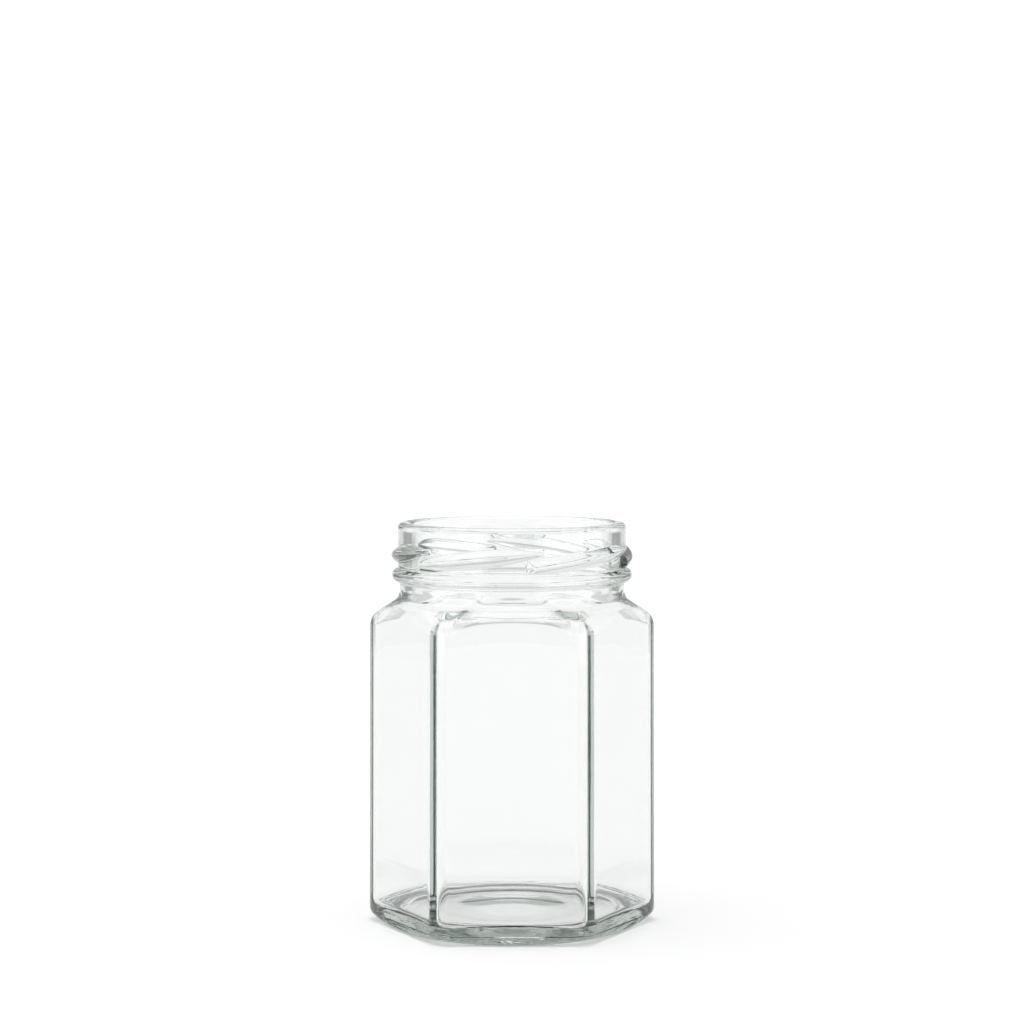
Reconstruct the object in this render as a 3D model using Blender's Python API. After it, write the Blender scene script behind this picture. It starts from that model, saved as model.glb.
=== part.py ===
"""A hexagonal glass jar with a screw finish, empty and open.

Units are metres, with +Z up. The origin is the middle of the ring that the jar stands on,
and one of the six flat faces looks along -Y. The jar is one piece of glass.
"""

import math

import bmesh
import bpy

# Whole jar
HEIGHT = 0.1017
SIDES = 6

# Six-sided body: a face stands this far from the axis, and the corners are rounded
FACE_AT_FOOT = 0.03238
FACE_AT_SHOULDER = 0.03213
CORNER_ROUND = 0.0070
WALL = 0.0030
INNER_CORNER_ROUND = 0.0030

# Foot and heel: the foot is nearly a circle, so the heel cuts more off the corners
FOOT_AT_FACE = 0.0300
FOOT_AT_CORNER = 0.0290
HEEL_HEIGHT_AT_FACE = 0.0010
HEEL_HEIGHT_AT_CORNER = 0.0033
STANDING_RING_INNER = 0.0270
RING_STEP = 0.0005
RING_STEP_WIDTH = 0.0015
PUSH_UP_RADIUS = 0.0170
PUSH_UP = 0.0014

# Floor of the inside
FLOOR = 0.0039
FLOOR_DOME = 0.0010
INNER_HEEL_ROUND = 0.0022

# Shoulder: outside a cone that meets the body in an arch on every face
SHOULDER_SLOPE = math.radians(34.6)
SHOULDER_POINT_RADIUS = 0.0320
SHOULDER_POINT_HEIGHT = 0.08055
SHOULDER_ROUND = 0.0042
SHOULDER_HOLLOW = 0.0032

# Inside of the shoulder: steeper at a face than at a corner
INNER_SHOULDER_TOP_AT_FACE = 0.0836
INNER_SHOULDER_TOP_AT_CORNER = 0.0800
INNER_SHOULDER_AT_FACE = 0.0786
INNER_SHOULDER_AT_CORNER = 0.0776
INNER_SHOULDER_ROUND_AT_FACE = 0.0024
INNER_SHOULDER_ROUND_AT_CORNER = 0.0032
INNER_SHOULDER_HOLLOW_AT_FACE = 0.0062
INNER_SHOULDER_HOLLOW_AT_CORNER = 0.0035

# Neck, bead and lip
NECK_RADIUS = 0.02895
NECK_RADIUS_BELOW_BEAD = 0.02855
BORE_RADIUS = 0.02545
BEAD_RADIUS = 0.03044
BEAD_ROUND = 0.00175
BEAD_HEIGHT = 0.08844
LIP_ROUND_OUTER = 0.0013
LIP_ROUND_INNER = 0.0012

# Thread: six short ridges, each rising to the right and fading out at its upper end
THREAD_STARTS = 6
THREAD_FIRST_START = math.radians(-52.4)
THREAD_SWEEP = math.radians(68.0)
THREAD_START_HEIGHT = 0.0918
THREAD_RISE = 0.0036
THREAD_EASE = 1.35
THREAD_PROUD = 0.00165
THREAD_HALF_WIDTH = 0.00205
THREAD_ROOT = 0.0003
THREAD_BURIED = 0.0009
THREAD_FADE_FROM = 0.60
THREAD_FADE_POWER = 1.8
THREAD_BLUNT_END = 0.0016
THREAD_SMALLEST = 0.26

# Fineness of the mesh
FACE_STEPS = 8
CORNER_STEPS = 4
HEEL_STEPS = 4
SHOULDER_STEPS = 4
BEAD_STEPS = 6
LIP_STEPS = 4
INNER_HEEL_STEPS = 5
THREAD_STEPS = 18
THREAD_ARC_STEPS = 4
DOME_RINGS = (0.35, 0.70, 1.00)

GLASS_COLOUR = (0.93, 0.965, 0.945, 1.0)
GLASS_ROUGHNESS = 0.02
GLASS_INDEX = 1.52


def clear_scene():
    """Remove every object that is in the file."""
    for thing in list(bpy.data.objects):
        bpy.data.objects.remove(thing, do_unlink=True)


def glass_material():
    """Clear glass with a faint green-grey tint."""
    material = bpy.data.materials.new("glass")
    material.use_nodes = True
    shader = material.node_tree.nodes["Principled BSDF"]
    shader.inputs["Base Color"].default_value = GLASS_COLOUR
    shader.inputs["Roughness"].default_value = GLASS_ROUGHNESS
    shader.inputs["Metallic"].default_value = 0.0
    shader.inputs["IOR"].default_value = GLASS_INDEX
    shader.inputs["Transmission Weight"].default_value = 1.0
    return material


def flat_edge_angle(apothem, corner_round):
    """Angle from the middle of a face to where its rounded corner begins."""
    return math.atan(math.tan(math.pi / SIDES) * (1 - corner_round / apothem))


def hexagon_radius(azimuth, apothem, corner_round):
    """Distance from the axis to a hexagon with rounded corners, in one direction."""
    sector = 2 * math.pi / SIDES
    from_face = abs((azimuth + sector / 2) % sector - sector / 2)
    if from_face <= flat_edge_angle(apothem, corner_round):
        return apothem / math.cos(from_face)
    round_centre = (apothem - corner_round) / math.cos(sector / 2)
    from_corner = sector / 2 - from_face
    across = round_centre * math.sin(from_corner)
    return round_centre * math.cos(from_corner) + math.sqrt(corner_round**2 - across**2)


def corner_share(azimuth):
    """How near a direction is to a corner: 0 at the middle of a face and 1 at a corner."""
    face = hexagon_radius(0.0, FACE_AT_FOOT, CORNER_ROUND)
    corner = hexagon_radius(math.pi / SIDES, FACE_AT_FOOT, CORNER_ROUND)
    return (hexagon_radius(azimuth, FACE_AT_FOOT, CORNER_ROUND) - face) / (corner - face)


def at_share(share, face, corner):
    """A size between its value at a face and its value at a corner."""
    return face + (corner - face) * share


def column_azimuths():
    """Directions of the mesh's columns, closer together round each corner."""
    sector = 2 * math.pi / SIDES
    edge = flat_edge_angle(FACE_AT_SHOULDER, CORNER_ROUND)
    columns = []
    for side in range(SIDES):
        face = side * sector
        for step in range(FACE_STEPS):
            columns.append(face - edge + 2 * edge * step / FACE_STEPS)
        for step in range(CORNER_STEPS):
            columns.append(face + edge + (sector - 2 * edge) * step / CORNER_STEPS)
    return columns


def arc(centre, radii, first, last, steps):
    """Points on an elliptical arc in the radial plane; angles run from outwards to upwards."""
    points = []
    for step in range(steps + 1):
        angle = first + (last - first) * step / steps
        points.append((centre[0] + radii[0] * math.cos(angle), centre[1] + radii[1] * math.sin(angle)))
    return points


def dome(share):
    """Height of a low dome, from 1 on the axis to 0 at its edge."""
    return math.cos(math.pi / 2 * share) ** 2


def underside():
    """The hollow underside, from near its middle out to the ring that the jar stands on."""
    points = []
    for share in DOME_RINGS:
        points.append((share * PUSH_UP_RADIUS, RING_STEP + PUSH_UP * dome(share)))
    points.append((STANDING_RING_INNER - RING_STEP_WIDTH, RING_STEP))
    points.append((STANDING_RING_INNER, 0.0))
    return points


def heel(azimuth):
    """The rounded heel, from the edge of the foot up to the wall."""
    wall = hexagon_radius(azimuth, FACE_AT_FOOT, CORNER_ROUND)
    share = corner_share(azimuth)
    foot = at_share(share, FOOT_AT_FACE, FOOT_AT_CORNER)
    height = at_share(share, HEEL_HEIGHT_AT_FACE, HEEL_HEIGHT_AT_CORNER)
    return arc((foot, height), (wall - foot, height), -math.pi / 2, 0.0, HEEL_STEPS)


def shoulder(wall, neck, slope, point, outward_round, hollow):
    """The shoulder, from the wall up to the neck: a round, a straight slope and a hollow.

    Where the wall is too near the neck for both curves, they shrink together.
    """
    turn = math.pi / 2 - slope
    room = (wall - neck) / ((outward_round + hollow) * (1 - math.cos(turn)))
    fit = min(1.0, 0.97 * room)
    outward_round *= fit
    hollow *= fit

    def slope_height(radius):
        return point[1] - (radius - point[0]) * math.tan(slope)

    reach = math.tan(turn / 2)
    low = (wall - outward_round, slope_height(wall) - outward_round * reach)
    high = (neck + hollow, slope_height(neck) + hollow * reach)
    points = arc(low, (outward_round, outward_round), 0.0, turn, SHOULDER_STEPS)
    points += arc(high, (-hollow, -hollow), turn, 0.0, SHOULDER_STEPS)
    return points


def bead():
    """The ring under the thread, round in section."""
    centre = BEAD_RADIUS - BEAD_ROUND
    low = math.acos((NECK_RADIUS_BELOW_BEAD - centre) / BEAD_ROUND)
    high = math.acos((NECK_RADIUS - centre) / BEAD_ROUND)
    return arc((centre, BEAD_HEIGHT), (BEAD_ROUND, BEAD_ROUND), -low, high, BEAD_STEPS)


def lip():
    """The rounded rim, over its outer edge, its flat top and its inner edge."""
    outer = (NECK_RADIUS - LIP_ROUND_OUTER, HEIGHT - LIP_ROUND_OUTER)
    inner = (BORE_RADIUS + LIP_ROUND_INNER, HEIGHT - LIP_ROUND_INNER)
    points = arc(outer, (LIP_ROUND_OUTER, LIP_ROUND_OUTER), 0.0, math.pi / 2, LIP_STEPS)
    points += arc(inner, (LIP_ROUND_INNER, LIP_ROUND_INNER), math.pi / 2, math.pi, LIP_STEPS)
    return points


def inner_shoulder(azimuth):
    """The inside of the shoulder, from the inner wall up to the foot of the bore."""
    share = corner_share(azimuth)
    wall = hexagon_radius(azimuth, FACE_AT_SHOULDER - WALL, INNER_CORNER_ROUND)
    low = at_share(share, INNER_SHOULDER_AT_FACE, INNER_SHOULDER_AT_CORNER)
    high = at_share(share, INNER_SHOULDER_TOP_AT_FACE, INNER_SHOULDER_TOP_AT_CORNER)
    slope = math.atan2(high - low, wall - BORE_RADIUS)
    outward_round = at_share(share, INNER_SHOULDER_ROUND_AT_FACE, INNER_SHOULDER_ROUND_AT_CORNER)
    hollow = at_share(share, INNER_SHOULDER_HOLLOW_AT_FACE, INNER_SHOULDER_HOLLOW_AT_CORNER)
    return shoulder(wall, BORE_RADIUS, slope, (BORE_RADIUS, high), outward_round, hollow)


def inside(azimuth):
    """The inside, from the floor near the axis up to the foot of the bore."""
    wall = hexagon_radius(azimuth, FACE_AT_FOOT - WALL, INNER_CORNER_ROUND)
    points = []
    for share in DOME_RINGS:
        points.append((share * PUSH_UP_RADIUS, FLOOR + FLOOR_DOME * dome(share)))
    centre = (wall - INNER_HEEL_ROUND, FLOOR + INNER_HEEL_ROUND)
    reach = (INNER_HEEL_ROUND, INNER_HEEL_ROUND)
    points += arc(centre, reach, -math.pi / 2, 0.0, INNER_HEEL_STEPS)
    return points + inner_shoulder(azimuth)


def profile(azimuth):
    """The jar's whole section in one direction: under the foot, up outside, over the lip, down inside."""
    wall = hexagon_radius(azimuth, FACE_AT_SHOULDER, CORNER_ROUND)
    point = (SHOULDER_POINT_RADIUS, SHOULDER_POINT_HEIGHT)
    points = underside()
    points += heel(azimuth)
    points += shoulder(
        wall, NECK_RADIUS_BELOW_BEAD, SHOULDER_SLOPE, point, SHOULDER_ROUND, SHOULDER_HOLLOW
    )
    points += bead()
    points += lip()
    points += reversed(inside(azimuth))
    return points


def place(azimuth, radius, height):
    """A point from its direction, with 0 towards -Y and a quarter turn towards +X."""
    return (radius * math.sin(azimuth), -radius * math.cos(azimuth), height)


def first_loop(mesh, points):
    """Add a closed loop through the points, and return its vertices and edges in order."""
    verts = [mesh.verts.new(point) for point in points]
    edges = [mesh.edges.new((verts[i - 1], verts[i])) for i in range(len(verts))]
    return verts, edges


def next_loop(mesh, verts, edges, points):
    """Extrude a loop and move the new one to the points."""
    made = bmesh.ops.extrude_edge_only(mesh, edges=edges)["geom"]
    fresh = {item for item in made if isinstance(item, bmesh.types.BMVert)}
    moved = []
    for vert, point in zip(verts, points):
        twins = [edge.other_vert(vert) for edge in vert.link_edges]
        twin = next(other for other in twins if other in fresh)
        twin.co = point
        moved.append(twin)
    return moved, [mesh.edges.get((moved[i - 1], moved[i])) for i in range(len(moved))]


def loft(name, loops):
    """A closed solid through a row of loops, with a face on its first and last loop."""
    mesh = bmesh.new()
    verts, edges = first_loop(mesh, loops[0])
    ends = [edges]
    for points in loops[1:]:
        verts, edges = next_loop(mesh, verts, edges, points)
    ends.append(edges)
    for rim in ends:
        bmesh.ops.edgeloop_fill(mesh, edges=rim)
    bmesh.ops.recalc_face_normals(mesh, faces=mesh.faces)
    data = bpy.data.meshes.new(name)
    mesh.to_mesh(data)
    mesh.free()
    thing = bpy.data.objects.new(name, data)
    bpy.context.scene.collection.objects.link(thing)
    return thing


def make_vessel():
    """The jar without its thread."""
    azimuths = column_azimuths()
    profiles = [profile(azimuth) for azimuth in azimuths]
    loops = []
    for station in range(len(profiles[0])):
        loops.append([place(azimuth, *points[station]) for azimuth, points in zip(azimuths, profiles)])
    return loft("jar", loops)


def thread_size(share):
    """How full the ridge is, from 0 at its ends to 1, at a share of its length."""
    run = share * THREAD_SWEEP * NECK_RADIUS
    size = 1.0
    if run < THREAD_BLUNT_END:
        size = math.sqrt(1 - (1 - run / THREAD_BLUNT_END) ** 2)
    if share > THREAD_FADE_FROM:
        size = 1 - ((share - THREAD_FADE_FROM) / (1 - THREAD_FADE_FROM)) ** THREAD_FADE_POWER
    return max(size, THREAD_SMALLEST)


def thread_shares():
    """Places along a ridge, closer together at its blunt start."""
    blunt = THREAD_BLUNT_END / (THREAD_SWEEP * NECK_RADIUS)
    shares = [0.0, 0.2 * blunt, 0.5 * blunt]
    for step in range(THREAD_STEPS + 1):
        shares.append(blunt + (1 - blunt) * step / THREAD_STEPS)
    return shares


def make_thread(index):
    """One ridge of the thread, sunk a little into the neck."""
    start = THREAD_FIRST_START + 2 * math.pi * index / THREAD_STARTS
    loops = []
    for share in thread_shares():
        size = thread_size(share)
        azimuth = start + share * THREAD_SWEEP
        middle = THREAD_START_HEIGHT + THREAD_RISE * (1 - (1 - share) ** THREAD_EASE)
        root = NECK_RADIUS - THREAD_ROOT
        reach = (THREAD_ROOT + THREAD_PROUD * size, THREAD_HALF_WIDTH * size)
        section = arc((root, middle), reach, -math.pi / 2, math.pi / 2, THREAD_ARC_STEPS)
        section.append((root - THREAD_BURIED, middle + reach[1]))
        section.append((root - THREAD_BURIED, middle - reach[1]))
        loops.append([place(azimuth, *point) for point in section])
    return loft(f"thread_{index + 1}", loops)


def join_threads(vessel, threads):
    """Unite the ridges with the jar, so that the glass is one body."""
    group = bpy.data.collections.new("threads")
    for thread in threads:
        group.objects.link(thread)
    union = vessel.modifiers.new("threads", "BOOLEAN")
    union.operation = "UNION"
    union.solver = "EXACT"
    union.operand_type = "COLLECTION"
    union.collection = group
    bpy.context.view_layer.update()
    evaluated = vessel.evaluated_get(bpy.context.evaluated_depsgraph_get())
    joined = bpy.data.meshes.new_from_object(evaluated)
    vessel.modifiers.remove(union)
    vessel.data = joined
    for thread in threads:
        bpy.data.objects.remove(thread, do_unlink=True)
    bpy.data.collections.remove(group)


def main():
    clear_scene()
    jar = make_vessel()
    threads = [make_thread(index) for index in range(THREAD_STARTS)]
    join_threads(jar, threads)
    jar.data.materials.clear()
    jar.data.materials.append(glass_material())
    jar.data.shade_smooth()
    jar.data.set_sharp_from_angle(angle=math.radians(35))


main()
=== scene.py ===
"""How the hexagonal glass jar looks: one piece of clear glass on a pale floor in soft studio light.

Units are metres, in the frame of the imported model: +Z up, one face of the jar towards -Y.
The glass piece repeats the CAD solid's sizes with a finer mesh and soft fillets.
"""

import math

import bpy
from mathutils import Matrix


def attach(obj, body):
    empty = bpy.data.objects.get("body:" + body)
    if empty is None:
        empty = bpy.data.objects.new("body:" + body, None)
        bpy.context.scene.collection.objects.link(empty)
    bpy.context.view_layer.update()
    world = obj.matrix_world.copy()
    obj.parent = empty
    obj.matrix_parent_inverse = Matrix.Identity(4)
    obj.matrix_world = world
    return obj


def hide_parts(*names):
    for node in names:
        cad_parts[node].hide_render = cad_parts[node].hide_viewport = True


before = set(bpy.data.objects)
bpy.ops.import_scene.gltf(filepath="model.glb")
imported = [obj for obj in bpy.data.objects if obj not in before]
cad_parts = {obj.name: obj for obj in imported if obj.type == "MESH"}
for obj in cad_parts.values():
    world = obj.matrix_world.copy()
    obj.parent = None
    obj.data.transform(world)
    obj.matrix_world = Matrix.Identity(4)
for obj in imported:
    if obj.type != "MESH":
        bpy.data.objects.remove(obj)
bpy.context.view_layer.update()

# Whole jar
HEIGHT = 0.1017
SIDES = 6

# Six-sided body
FACE_AT_FOOT = 0.03238
FACE_AT_SHOULDER = 0.03213
CORNER_ROUND = 0.0070
WALL = 0.0030
INNER_CORNER_ROUND = 0.0030

# Foot and heel
FOOT_AT_FACE = 0.0300
FOOT_AT_CORNER = 0.0290
HEEL_HEIGHT_AT_FACE = 0.0010
HEEL_HEIGHT_AT_CORNER = 0.0033
STANDING_RING_INNER = 0.0270
RING_STEP = 0.0005
RING_STEP_WIDTH = 0.0015
PUSH_UP_RADIUS = 0.0170
PUSH_UP = 0.0014

# Floor of the inside
FLOOR = 0.0039
FLOOR_DOME = 0.0010
INNER_HEEL_ROUND = 0.0022

# Shoulder
SHOULDER_SLOPE = math.radians(34.6)
SHOULDER_POINT_RADIUS = 0.0320
SHOULDER_POINT_HEIGHT = 0.08055
SHOULDER_ROUND = 0.0042
SHOULDER_HOLLOW = 0.0032
SHOULDER_ROOM = 0.97
INNER_SHOULDER_TOP_AT_FACE = 0.0836
INNER_SHOULDER_TOP_AT_CORNER = 0.0800
INNER_SHOULDER_AT_FACE = 0.0786
INNER_SHOULDER_AT_CORNER = 0.0776
INNER_SHOULDER_ROUND_AT_FACE = 0.0024
INNER_SHOULDER_ROUND_AT_CORNER = 0.0032
INNER_SHOULDER_HOLLOW_AT_FACE = 0.0062
INNER_SHOULDER_HOLLOW_AT_CORNER = 0.0035

# Neck, bead and lip
NECK_RADIUS = 0.02895
NECK_RADIUS_BELOW_BEAD = 0.02855
BORE_RADIUS = 0.02545
BEAD_RADIUS = 0.03044
BEAD_ROUND = 0.00175
BEAD_HEIGHT = 0.08844
BEAD_FILLET = 0.0005
LIP_ROUND_OUTER = 0.0013
LIP_ROUND_INNER = 0.0012

# Thread
THREAD_STARTS = 6
THREAD_FIRST_START = math.radians(-52.4)
THREAD_SWEEP = math.radians(68.0)
THREAD_START_HEIGHT = 0.0918
THREAD_RISE = 0.0036
THREAD_EASE = 1.35
THREAD_PROUD = 0.00165
THREAD_HALF_WIDTH = 0.00205
THREAD_FLANK = 0.12
THREAD_CROWN = 0.95
THREAD_RUN_IN = 0.0016
THREAD_FADE_FROM = 0.60
THREAD_FADE_POWER = 1.8
THREAD_SMALLEST_WIDTH = 0.30
THREAD_START_WIDTH = 0.05

# Fineness of the mesh
FACE_STEPS = 48
CORNER_STEPS = 22
UNDERSIDE_STEPS = 10
RING_STEPS = 6
HEEL_STEPS = 12
WALL_STEPS = 10
SHOULDER_STEPS = 12
BEAD_STEPS = 12
FILLET_STEPS = 5
NECK_STEPS = 56
LIP_STEPS = 8
BORE_STEPS = 14
INNER_HEEL_STEPS = 14
FLOOR_STEPS = 10
FLAT_STEPS = 4

# Clear glass, with the waves and streaks of its moulding
GLASS_REFRACTION = 1.52
GLASS_TINT = (0.735, 0.77, 0.75, 1.0)
GLASS_DENSITY = 51.0
WAVE_SCALE = 60.0
WAVE_DETAIL = 1.0
WAVE_DEPTH = 0.00004
STREAKS_ROUND = 5.0
STREAKS_ACROSS = 900.0
STREAK_DETAIL = 2.0
STREAKS_TOP = (0.0022, 0.0027)
STREAKS_INNER = (0.0245, 0.0265)
STREAK_DEPTH = 0.0006
WALL_STREAKS_TOP = (0.0030, 0.0065)
WALL_STREAKS_INNER = (0.0300, 0.0308)
WALL_STREAK_SHARE = 0.25

# Floor of pale card
FLOOR_RADIUS = 0.65
FLOOR_CORNERS = 96
CARD_GREY = 0.895
CARD_MOTTLE = 0.01
CARD_MOTTLE_SCALE = 3.0
CARD_ROUGHNESS = 0.9

# Light. Turns run from 0, straight behind the jar, to half a turn, straight in front of it.
# Heights are those of a direction: 0 is level and 1 is straight up.
WALL_WHITE = 1.00
SIDE_WHITE = 1.0
SIDE_FROM = (math.radians(62.0), math.radians(88.0))
SIDE_TO = (math.radians(140.0), math.radians(162.0))
SIDE_FLOOR = (-0.125, -0.055)
GAP_GREY = 0.70
GAP_FROM = (math.radians(18.0), math.radians(30.0))
GAP_TO = (math.radians(46.0), math.radians(54.0))
GAP_FLOOR = (-0.125, -0.055)
GAP_TOP = (0.04, 0.12)
BAND_GREY = 0.40
BAND_FLOOR = (0.04, 0.10)
BAND_TOP = (0.28, 0.36)
BAND_SIDES = (math.radians(18.0), math.radians(34.0))
UPPER_GREY = 0.82
UPPER_FROM = (0.28, 0.40)
LIGHT_AIM = (-0.22, 0.06, 0.974)
LIGHT_EDGE = 0.74
LIGHT_CORE = 0.84
LIGHT_WHITE = 0.71
BACKDROP_WHITE = 1.2
LIGHT_BOUNCES = 64

# Camera
CAMERA_PLACE = (0.0, -0.655, 0.14138)
CAMERA_PITCH = math.radians(86.75)
CAMERA_LENS = 91.05
CAMERA_SENSOR = 36.0
CAMERA_NEAREST = 0.01


def flat_edge_angle(apothem, corner_round):
    """Angle from the middle of a face to where its rounded corner begins."""
    return math.atan(math.tan(math.pi / SIDES) * (1 - corner_round / apothem))


def hexagon_radius(azimuth, apothem, corner_round):
    """Distance from the axis to a hexagon with rounded corners, in one direction."""
    sector = 2 * math.pi / SIDES
    from_face = abs((azimuth + sector / 2) % sector - sector / 2)
    if from_face <= flat_edge_angle(apothem, corner_round):
        return apothem / math.cos(from_face)
    round_centre = (apothem - corner_round) / math.cos(sector / 2)
    from_corner = sector / 2 - from_face
    across = round_centre * math.sin(from_corner)
    return round_centre * math.cos(from_corner) + math.sqrt(corner_round**2 - across**2)


def corner_share(azimuth):
    """How near a direction is to a corner: 0 at the middle of a face and 1 at a corner."""
    face = hexagon_radius(0.0, FACE_AT_FOOT, CORNER_ROUND)
    corner = hexagon_radius(math.pi / SIDES, FACE_AT_FOOT, CORNER_ROUND)
    return (hexagon_radius(azimuth, FACE_AT_FOOT, CORNER_ROUND) - face) / (corner - face)


def soft_rise(share):
    """A smooth climb from 0 to 1."""
    share = min(1.0, max(0.0, share))
    return share * share * (3 - 2 * share)


def at_share(share, face, corner):
    """A size between its value at a face and its value at a corner."""
    return face + (corner - face) * share


def column_azimuths():
    """Directions of the mesh's columns, closer together round each corner."""
    sector = 2 * math.pi / SIDES
    edge = flat_edge_angle(FACE_AT_SHOULDER, CORNER_ROUND)
    columns = []
    for side in range(SIDES):
        face = side * sector
        for step in range(FACE_STEPS):
            columns.append(face - edge + 2 * edge * step / FACE_STEPS)
        for step in range(CORNER_STEPS):
            columns.append(face + edge + (sector - 2 * edge) * step / CORNER_STEPS)
    return columns


def arc(centre, radii, first, last, steps):
    """Points on an elliptical arc in the radial plane; angles run from outwards to upwards."""
    points = []
    for step in range(steps + 1):
        angle = first + (last - first) * step / steps
        points.append((centre[0] + radii[0] * math.cos(angle), centre[1] + radii[1] * math.sin(angle)))
    return points


def between(first, last, steps):
    """The points that divide a straight line into equal steps, without its two ends."""
    points = []
    for step in range(1, steps):
        share = step / steps
        points.append((first[0] + (last[0] - first[0]) * share, first[1] + (last[1] - first[1]) * share))
    return points


def dome(radius):
    """Height of a low dome, from 1 on the axis to 0 at the push-up's edge."""
    if radius >= PUSH_UP_RADIUS:
        return 0.0
    return math.cos(math.pi / 2 * radius / PUSH_UP_RADIUS) ** 2


def underside():
    """The hollow underside, from near its middle out to the ring that the jar stands on."""
    points = []
    for step in range(1, UNDERSIDE_STEPS + 1):
        radius = PUSH_UP_RADIUS * step / UNDERSIDE_STEPS
        points.append((radius, RING_STEP + PUSH_UP * dome(radius)))
    step_start = STANDING_RING_INNER - RING_STEP_WIDTH
    for step in range(RING_STEPS + 1):
        share = step / RING_STEPS
        height = RING_STEP * (1 - share * share * (3 - 2 * share))
        points.append((step_start + RING_STEP_WIDTH * share, height))
    return points


def heel(azimuth):
    """The rounded heel, from the edge of the foot up to the wall."""
    wall = hexagon_radius(azimuth, FACE_AT_FOOT, CORNER_ROUND)
    share = corner_share(azimuth)
    foot = at_share(share, FOOT_AT_FACE, FOOT_AT_CORNER)
    height = at_share(share, HEEL_HEIGHT_AT_FACE, HEEL_HEIGHT_AT_CORNER)
    return arc((foot, height), (wall - foot, height), -math.pi / 2, 0.0, HEEL_STEPS)


def shoulder(wall, neck, slope, point, outward_round, hollow):
    """The shoulder, from the wall up to the neck: a round, the cone's slope and a hollow.

    Where the wall is too near the neck for both curves, they shrink alike.
    """
    turn = math.pi / 2 - slope
    room = (wall - neck) / ((outward_round + hollow) * (1 - math.cos(turn)))
    fit = min(1.0, SHOULDER_ROOM * room)
    outward_round *= fit
    hollow *= fit

    def slope_height(radius):
        return point[1] - (radius - point[0]) * math.tan(slope)

    reach = math.tan(turn / 2)
    low = (wall - outward_round, slope_height(wall) - outward_round * reach)
    high = (neck + hollow, slope_height(neck) + hollow * reach)
    points = arc(low, (outward_round, outward_round), 0.0, turn, SHOULDER_STEPS)
    points += arc(high, (-hollow, -hollow), turn, 0.0, SHOULDER_STEPS)
    return points


def bead():
    """The ring under the thread, with a small fillet where it meets the neck."""
    centre = BEAD_RADIUS - BEAD_ROUND
    reach = BEAD_ROUND + BEAD_FILLET
    low = math.acos((NECK_RADIUS_BELOW_BEAD + BEAD_FILLET - centre) / reach)
    high = math.acos((NECK_RADIUS + BEAD_FILLET - centre) / reach)
    fillet = (BEAD_FILLET, BEAD_FILLET)
    below = (NECK_RADIUS_BELOW_BEAD + BEAD_FILLET, BEAD_HEIGHT - reach * math.sin(low))
    above = (NECK_RADIUS + BEAD_FILLET, BEAD_HEIGHT + reach * math.sin(high))
    points = arc(below, fillet, math.pi, math.pi - low, FILLET_STEPS)[:-1]
    points += arc((centre, BEAD_HEIGHT), (BEAD_ROUND, BEAD_ROUND), -low, high, BEAD_STEPS)
    points += arc(above, fillet, math.pi + high, math.pi, FILLET_STEPS)[1:]
    return points


def thread_section(distance):
    """Height of the ridge from 1 at its crest to 0 at its edge: a round crown and short flanks."""
    return (1 - THREAD_CROWN * min(1.0, distance) ** 2) * soft_rise((1 - distance) / THREAD_FLANK)


def ridge_relief(turned, height):
    """How far one ridge stands out of the neck, at a turn from its start."""
    share = turned / THREAD_SWEEP
    if share >= 1:
        return 0.0
    run_in = min(1.0, turned * NECK_RADIUS / THREAD_RUN_IN)
    size = 1.0
    if share > THREAD_FADE_FROM:
        size = 1 - ((share - THREAD_FADE_FROM) / (1 - THREAD_FADE_FROM)) ** THREAD_FADE_POWER
    blunt_end = math.sqrt(1 - (1 - run_in) ** 2) + THREAD_START_WIDTH
    width = min(max(size, THREAD_SMALLEST_WIDTH), blunt_end)
    middle = THREAD_START_HEIGHT + THREAD_RISE * (1 - (1 - share) ** THREAD_EASE)
    across = abs(height - middle) / (THREAD_HALF_WIDTH * width)
    return THREAD_PROUD * size * soft_rise(run_in) * thread_section(across)


def thread_relief(azimuth, height):
    """How far the thread stands out of the neck at one place, where two ridges can overlap."""
    pitch = 2 * math.pi / THREAD_STARTS
    turned = (azimuth - THREAD_FIRST_START) % pitch
    return max(ridge_relief(turned, height), ridge_relief(turned + pitch, height))


def neck(azimuth, low, high):
    """The neck's outer wall with its thread, between two heights."""
    points = []
    for step in range(1, NECK_STEPS):
        height = low + (high - low) * step / NECK_STEPS
        points.append((NECK_RADIUS + thread_relief(azimuth, height), height))
    return points


def lip():
    """The rounded rim, over its outer edge, its flat top and its inner edge."""
    outer = (NECK_RADIUS - LIP_ROUND_OUTER, HEIGHT - LIP_ROUND_OUTER)
    inner = (BORE_RADIUS + LIP_ROUND_INNER, HEIGHT - LIP_ROUND_INNER)
    points = arc(outer, (LIP_ROUND_OUTER, LIP_ROUND_OUTER), 0.0, math.pi / 2, LIP_STEPS)
    points += arc(inner, (LIP_ROUND_INNER, LIP_ROUND_INNER), math.pi / 2, math.pi, LIP_STEPS)
    return points


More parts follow.
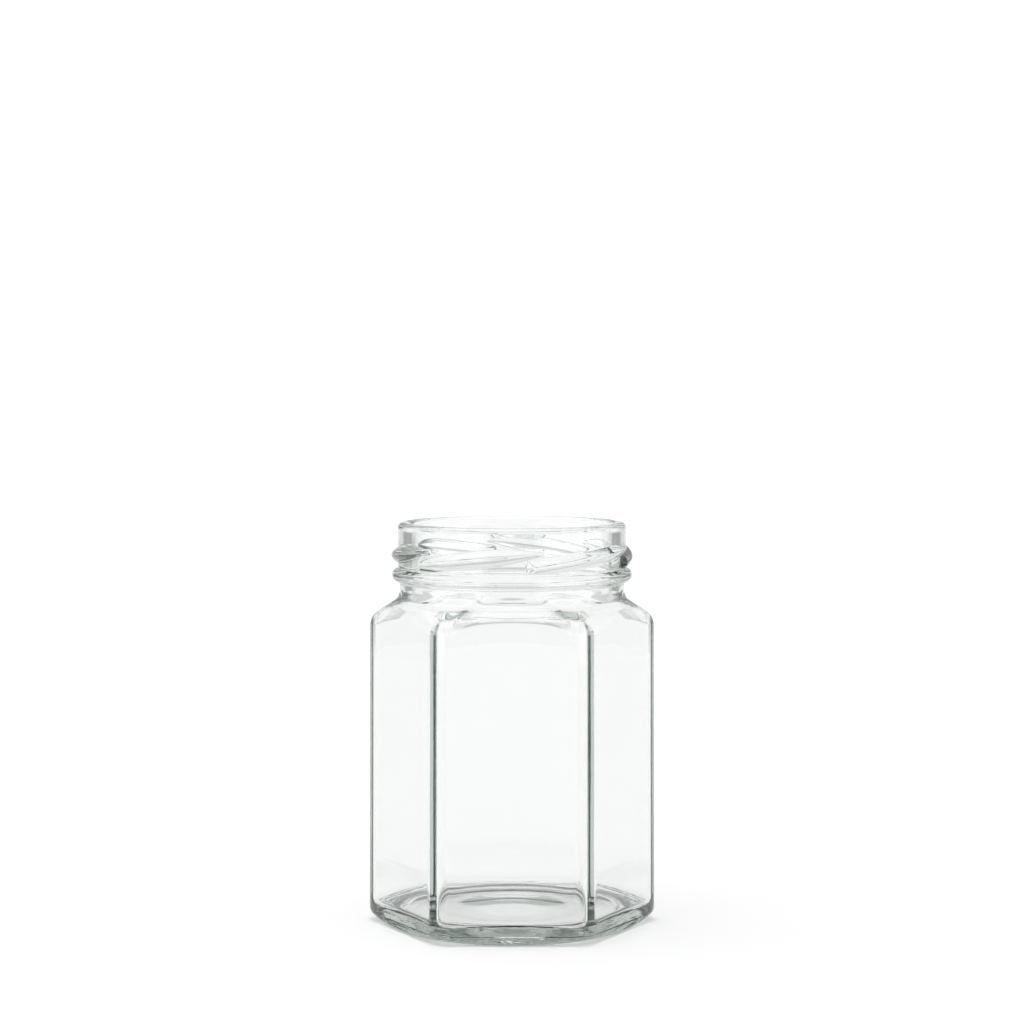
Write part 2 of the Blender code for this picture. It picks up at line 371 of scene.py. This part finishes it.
def inside(azimuth):
    """The inside, from the floor near the axis up to the foot of the bore."""
    foot_wall = hexagon_radius(azimuth, FACE_AT_FOOT - WALL, INNER_CORNER_ROUND)
    top_wall = hexagon_radius(azimuth, FACE_AT_SHOULDER - WALL, INNER_CORNER_ROUND)
    points = []
    for step in range(1, FLOOR_STEPS + 1):
        radius = PUSH_UP_RADIUS * step / FLOOR_STEPS
        points.append((radius, FLOOR + FLOOR_DOME * dome(radius)))
    centre = (foot_wall - INNER_HEEL_ROUND, FLOOR + INNER_HEEL_ROUND)
    rise = arc(centre, (INNER_HEEL_ROUND, INNER_HEEL_ROUND), -math.pi / 2, 0.0, INNER_HEEL_STEPS)
    points += between(points[-1], rise[0], FLAT_STEPS)
    points += rise
    share = corner_share(azimuth)
    low = at_share(share, INNER_SHOULDER_AT_FACE, INNER_SHOULDER_AT_CORNER)
    high = at_share(share, INNER_SHOULDER_TOP_AT_FACE, INNER_SHOULDER_TOP_AT_CORNER)
    fall = math.atan2(high - low, top_wall - BORE_RADIUS)
    point = (BORE_RADIUS, high)
    outward_round = at_share(share, INNER_SHOULDER_ROUND_AT_FACE, INNER_SHOULDER_ROUND_AT_CORNER)
    hollow = at_share(share, INNER_SHOULDER_HOLLOW_AT_FACE, INNER_SHOULDER_HOLLOW_AT_CORNER)
    slope = shoulder(top_wall, BORE_RADIUS, fall, point, outward_round, hollow)
    points += between(points[-1], slope[0], WALL_STEPS)
    return points + slope


def profile(azimuth):
    """The jar's whole section in one direction: under the foot, up outside, over the lip, down inside."""
    wall = hexagon_radius(azimuth, FACE_AT_SHOULDER, CORNER_ROUND)
    points = underside()
    points += heel(azimuth)
    point = (SHOULDER_POINT_RADIUS, SHOULDER_POINT_HEIGHT)
    slope = shoulder(
        wall, NECK_RADIUS_BELOW_BEAD, SHOULDER_SLOPE, point, SHOULDER_ROUND, SHOULDER_HOLLOW
    )
    points += between(points[-1], slope[0], WALL_STEPS)
    points += slope
    points += bead()
    rim = lip()
    points += neck(azimuth, points[-1][1], rim[0][1])
    points += rim
    inner = inside(azimuth)
    points += between(rim[-1], inner[-1], BORE_STEPS)
    points += reversed(inner)
    return points


def place(azimuth, radius, height):
    """A point from its direction, with 0 towards -Y and a quarter turn towards +X."""
    return (radius * math.sin(azimuth), -radius * math.cos(azimuth), height)


def add_object(name, verts, faces):
    """A new object from points and faces, in the scene."""
    data = bpy.data.meshes.new(name)
    data.from_pydata(verts, [], faces)
    data.update()
    thing = bpy.data.objects.new(name, data)
    bpy.context.scene.collection.objects.link(thing)
    return thing


def make_glass():
    """The jar as one closed, smooth mesh."""
    azimuths = column_azimuths()
    profiles = [profile(azimuth) for azimuth in azimuths]
    columns = len(azimuths)
    stations = len(profiles[0])
    verts = []
    for station in range(stations):
        for azimuth, points in zip(azimuths, profiles):
            verts.append(place(azimuth, *points[station]))
    faces = []
    for station in range(stations - 1):
        for column in range(columns):
            here = station * columns + column
            beside = station * columns + (column + 1) % columns
            faces.append((here, beside, beside + columns, here + columns))
    verts.append((0.0, 0.0, RING_STEP + PUSH_UP))
    verts.append((0.0, 0.0, FLOOR + FLOOR_DOME))
    last = (stations - 1) * columns
    for column in range(columns):
        beside = (column + 1) % columns
        faces.append((beside, column, len(verts) - 2))
        faces.append((last + column, last + beside, len(verts) - 1))
    thing = add_object("jar_glass", verts, faces)
    thing.data.shade_smooth()
    return thing


def add_math(tree, operation, *values):
    """A math node fed by sockets or plain numbers; returns its output."""
    node = tree.nodes.new("ShaderNodeMath")
    node.operation = operation
    for slot, value in enumerate(values):
        if isinstance(value, bpy.types.NodeSocket):
            tree.links.new(value, node.inputs[slot])
        else:
            node.inputs[slot].default_value = value
    return node.outputs[0]


def add_step(tree, value, low, high):
    """A smooth step from 0 at one value to 1 at another."""
    node = tree.nodes.new("ShaderNodeMapRange")
    node.interpolation_type = "SMOOTHSTEP"
    node.inputs["From Min"].default_value = low
    node.inputs["From Max"].default_value = high
    tree.links.new(value, node.inputs["Value"])
    return node.outputs["Result"]


def add_band(tree, value, rise, fall):
    """1 between a soft rise and a soft fall, and 0 outside them."""
    return add_math(tree, "SUBTRACT", add_step(tree, value, *rise), add_step(tree, value, *fall))


def add_bump(tree, height, distance, under):
    """A bump node, laid over another bump where there is one; returns its output."""
    bump = tree.nodes.new("ShaderNodeBump")
    bump.inputs["Distance"].default_value = distance
    tree.links.new(height, bump.inputs["Height"])
    if under:
        tree.links.new(under, bump.inputs["Normal"])
    return bump.outputs["Normal"]


def base_ripples(tree, place_in):
    """Height of the streaks that the mould leaves round the foot, along its edge; 0 elsewhere."""
    split = tree.nodes.new("ShaderNodeSeparateXYZ")
    tree.links.new(place_in, split.inputs[0])
    across, along, height = split.outputs
    squares = add_math(tree, "MULTIPLY_ADD", across, across, add_math(tree, "MULTIPLY", along, along))
    radius = add_math(tree, "SQRT", squares)
    streaks = tree.nodes.new("ShaderNodeTexNoise")
    streaks.inputs["Scale"].default_value = 1.0
    streaks.inputs["Detail"].default_value = STREAK_DETAIL
    join = tree.nodes.new("ShaderNodeCombineXYZ")
    turn = add_math(tree, "ARCTAN2", along, across)
    tree.links.new(add_math(tree, "MULTIPLY", turn, STREAKS_ROUND), join.inputs[0])
    tree.links.new(add_math(tree, "MULTIPLY", radius, STREAKS_ACROSS), join.inputs[1])
    tree.links.new(add_math(tree, "MULTIPLY", height, STREAKS_ACROSS), join.inputs[2])
    tree.links.new(join.outputs[0], streaks.inputs["Vector"])
    under = add_math(tree, "SUBTRACT", 1.0, add_step(tree, height, *STREAKS_TOP))
    under = add_math(tree, "MULTIPLY", under, add_step(tree, radius, *STREAKS_INNER))
    wall = add_math(tree, "SUBTRACT", 1.0, add_step(tree, height, *WALL_STREAKS_TOP))
    wall = add_math(tree, "MULTIPLY", wall, add_step(tree, radius, *WALL_STREAKS_INNER))
    share = add_math(tree, "MAXIMUM", under, add_math(tree, "MULTIPLY", wall, WALL_STREAK_SHARE))
    return add_math(tree, "MULTIPLY", streaks.outputs["Fac"], share)


def glass_material():
    """Clear soda-lime glass, green-grey in its depth, with moulding waves and a streaky foot."""
    material = bpy.data.materials.new("clear_glass")
    material.use_nodes = True
    tree = material.node_tree
    shader = tree.nodes["Principled BSDF"]
    shader.inputs["Base Color"].default_value = (1.0, 1.0, 1.0, 1.0)
    shader.inputs["Roughness"].default_value = 0.0
    shader.inputs["IOR"].default_value = GLASS_REFRACTION
    shader.inputs["Transmission Weight"].default_value = 1.0
    place_in = tree.nodes.new("ShaderNodeTexCoord").outputs["Object"]
    waves = tree.nodes.new("ShaderNodeTexNoise")
    waves.inputs["Scale"].default_value = WAVE_SCALE
    waves.inputs["Detail"].default_value = WAVE_DETAIL
    tree.links.new(place_in, waves.inputs["Vector"])
    normal = add_bump(tree, waves.outputs["Fac"], WAVE_DEPTH, None)
    normal = add_bump(tree, base_ripples(tree, place_in), STREAK_DEPTH, normal)
    tree.links.new(normal, shader.inputs["Normal"])
    depth = tree.nodes.new("ShaderNodeVolumeAbsorption")
    depth.inputs["Color"].default_value = GLASS_TINT
    depth.inputs["Density"].default_value = GLASS_DENSITY
    tree.links.new(depth.outputs["Volume"], tree.nodes["Material Output"].inputs["Volume"])
    return material


def floor_material():
    """Matt pale card with a very faint mottle."""
    material = bpy.data.materials.new("pale_card")
    material.use_nodes = True
    tree = material.node_tree
    shader = tree.nodes["Principled BSDF"]
    shader.inputs["Roughness"].default_value = CARD_ROUGHNESS
    shader.inputs["Specular IOR Level"].default_value = 0.0
    mottle = tree.nodes.new("ShaderNodeTexNoise")
    mottle.inputs["Scale"].default_value = CARD_MOTTLE_SCALE
    shade = add_math(tree, "MULTIPLY_ADD", mottle.outputs["Fac"], CARD_MOTTLE, CARD_GREY)
    tree.links.new(shade, shader.inputs["Base Color"])
    return material


def make_floor():
    """A wide round pale floor."""
    verts = []
    for corner in range(FLOOR_CORNERS):
        verts.append(place(2 * math.pi * corner / FLOOR_CORNERS, FLOOR_RADIUS, 0.0))
    floor = add_object("floor", verts, [tuple(range(FLOOR_CORNERS))])
    floor.data.materials.append(floor_material())
    return floor


def add_camera():
    """The camera at the photograph's place and angle."""
    data = bpy.data.cameras.new("camera")
    data.lens = CAMERA_LENS
    data.sensor_width = CAMERA_SENSOR
    data.clip_start = CAMERA_NEAREST
    camera = bpy.data.objects.new("camera", data)
    camera.location = CAMERA_PLACE
    camera.rotation_euler = (CAMERA_PITCH, 0.0, 0.0)
    bpy.context.scene.collection.objects.link(camera)
    bpy.context.scene.camera = camera


def add_world():
    """A white tent with a soft light overhead.

    It is brighter at the front sides, and behind it has a grey band with a grey gap on each side.
    """
    world = bpy.data.worlds.new("studio")
    bpy.context.scene.world = world
    world.use_nodes = True
    tree = world.node_tree
    direction = tree.nodes.new("ShaderNodeTexCoord").outputs["Generated"]
    split = tree.nodes.new("ShaderNodeSeparateXYZ")
    tree.links.new(direction, split.inputs[0])
    height = split.outputs["Z"]
    aside = add_math(tree, "ABSOLUTE", split.outputs["X"])
    turn = add_math(tree, "ARCTAN2", aside, split.outputs["Y"])
    side = add_band(tree, turn, SIDE_FROM, SIDE_TO)
    side = add_math(tree, "MULTIPLY", side, add_step(tree, height, *SIDE_FLOOR))
    gap = add_band(tree, turn, GAP_FROM, GAP_TO)
    gap = add_math(tree, "MULTIPLY", gap, add_band(tree, height, GAP_FLOOR, GAP_TOP))
    behind = add_math(tree, "SUBTRACT", 1.0, add_step(tree, turn, *BAND_SIDES))
    band = add_math(tree, "MULTIPLY", behind, add_band(tree, height, BAND_FLOOR, BAND_TOP))
    walls = add_math(tree, "MULTIPLY_ADD", band, -BAND_GREY, WALL_WHITE)
    walls = add_math(tree, "MULTIPLY_ADD", side, SIDE_WHITE, walls)
    walls = add_math(tree, "MULTIPLY_ADD", gap, -GAP_GREY, walls)
    upper = add_step(tree, height, *UPPER_FROM)
    change = add_math(tree, "SUBTRACT", UPPER_GREY, walls)
    level = add_math(tree, "MULTIPLY_ADD", upper, change, walls)
    aim = tree.nodes.new("ShaderNodeVectorMath")
    aim.operation = "DOT_PRODUCT"
    tree.links.new(direction, aim.inputs[0])
    aim.inputs[1].default_value = LIGHT_AIM
    light = add_step(tree, aim.outputs["Value"], LIGHT_EDGE, LIGHT_CORE)
    level = add_math(tree, "MULTIPLY_ADD", light, LIGHT_WHITE, level)
    seen = tree.nodes.new("ShaderNodeLightPath").outputs["Is Camera Ray"]
    backdrop = add_math(tree, "MULTIPLY", seen, BACKDROP_WHITE)
    level = add_math(tree, "MAXIMUM", level, backdrop)
    background = tree.nodes["Background"]
    background.inputs["Color"].default_value = (1.0, 1.0, 1.0, 1.0)
    tree.links.new(level, background.inputs["Strength"])


def set_colours():
    """Plain colours, so that the white studio comes out white, and enough bounces for thick glass."""
    scene = bpy.context.scene
    scene.view_settings.view_transform = "Standard"
    scene.cycles.max_bounces = LIGHT_BOUNCES
    scene.cycles.transmission_bounces = LIGHT_BOUNCES
    scene.cycles.glossy_bounces = LIGHT_BOUNCES
    scene.cycles.blur_glossy = 0.0


glass = make_glass()
glass.data.materials.append(glass_material())
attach(glass, "root")
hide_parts("jar")
make_floor()
add_camera()
add_world()
set_colours()
